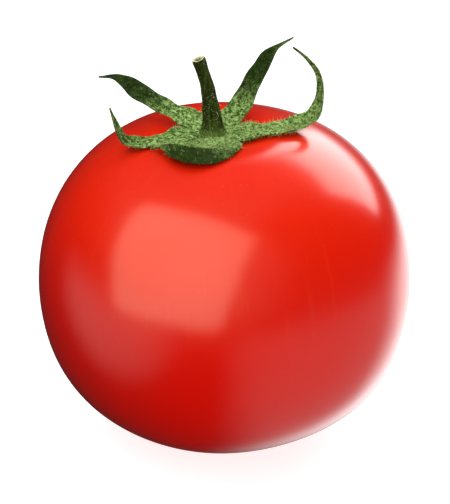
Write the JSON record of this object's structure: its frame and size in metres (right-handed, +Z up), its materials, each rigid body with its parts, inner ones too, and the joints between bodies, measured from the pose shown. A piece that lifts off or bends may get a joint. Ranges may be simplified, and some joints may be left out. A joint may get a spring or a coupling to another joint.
{
  "type": "tomato",
  "caption": "Ripe red globe tomato, smooth and nearly round, with a green calyx of curling sepals round a short cut stalk, standing on its flat blossom end",
  "frame": {"origin": "on the table, at the middle of the small flat spot under the fruit", "axes": "+Z is up, from the blossom end to the stalk; -Y is the front; +X is to the right, towards the sepal that curls up like a C"},
  "size_m": [0.075, 0.074, 0.081],
  "materials": {
    "tomato_skin": "smooth, waxy, glossy orange-red skin, slightly see-through",
    "sepal_green": "soft leaf, light green with darker green outer halves, short pale hairs",
    "stalk_green": "dark green stalk with short pale hairs and a pale cream cut end"
  },
  "bodies": {
    "root": {"fruit": "tomato_skin", "stalk": "stalk_green", "sepal_right": "sepal_green", "sepal_back": "sepal_green", "sepal_back_left": "sepal_green", "sepal_left": "sepal_green", "sepal_front": "sepal_green"}
  },
  "joints": []
}
